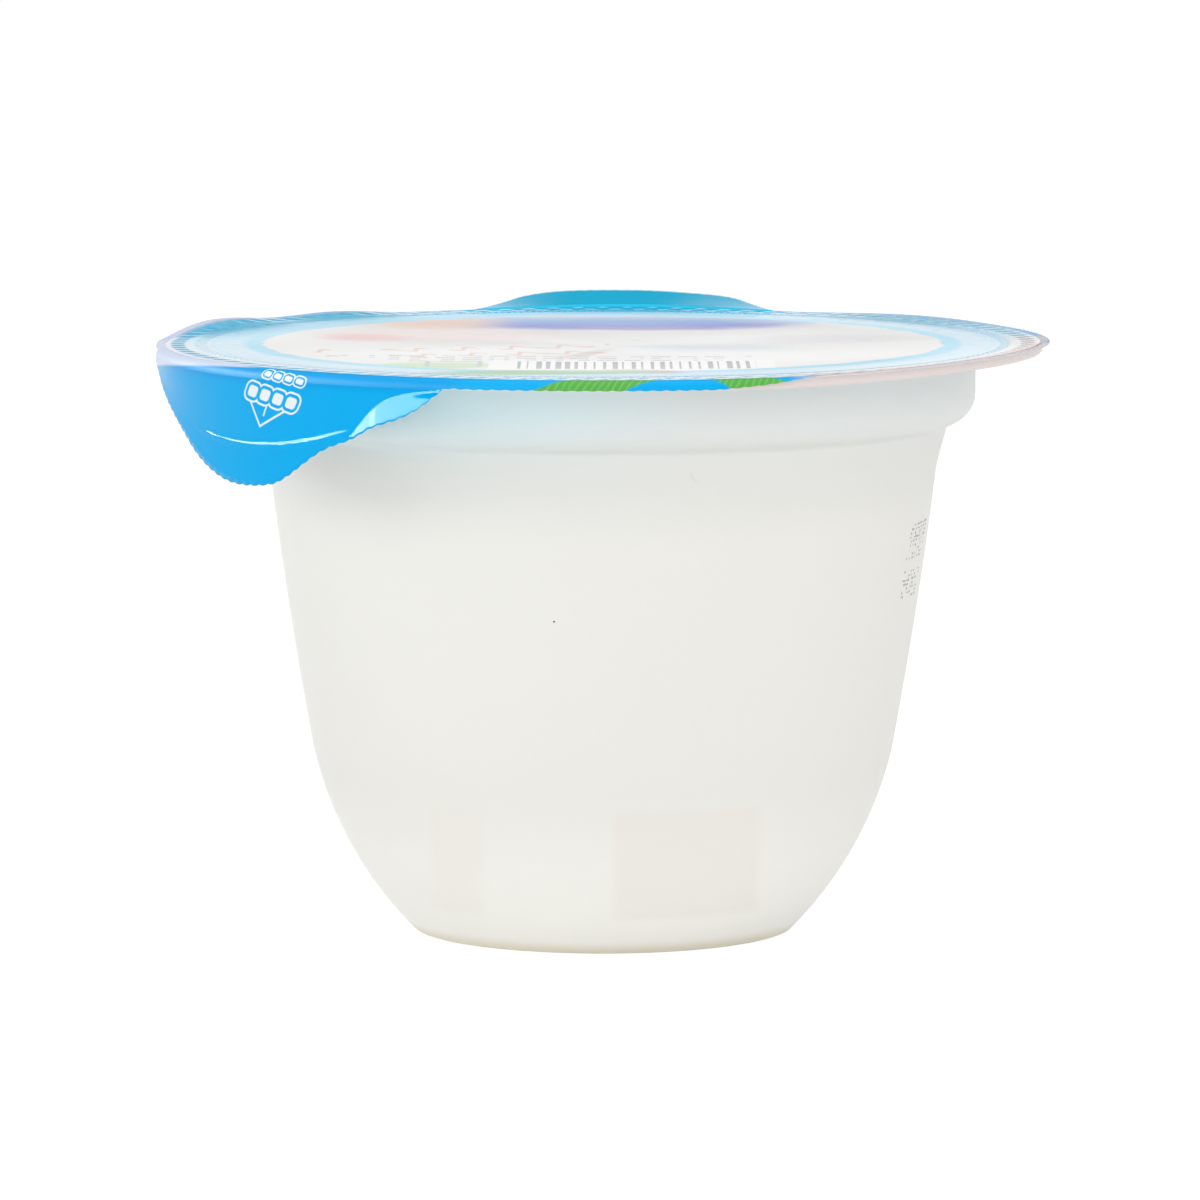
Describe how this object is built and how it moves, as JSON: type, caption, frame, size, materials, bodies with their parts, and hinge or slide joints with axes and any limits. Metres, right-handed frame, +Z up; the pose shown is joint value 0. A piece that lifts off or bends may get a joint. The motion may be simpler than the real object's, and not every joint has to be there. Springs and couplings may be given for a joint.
{
  "type": "yogurt pot",
  "caption": "Sealed yogurt pot: a tapered cup with a round base, a stacking shoulder and a flange, closed by a peel-off film with a hanging tab.",
  "frame": {"origin": "centre of the ring that the pot stands on, on the pot's axis", "axes": "+Z up along the pot's axis, -Y is the front, with the peel tab hanging at the front left (-X)"},
  "size_m": [0.0966, 0.1091, 0.0649],
  "materials": {
    "pot_plastic": "milky white polypropylene with a soft satin gloss",
    "lid_film": "glossy printed lidding film, sky blue with a white middle"
  },
  "bodies": {
    "root": {"cup": "pot_plastic", "lid": "lid_film"}
  },
  "joints": []
}
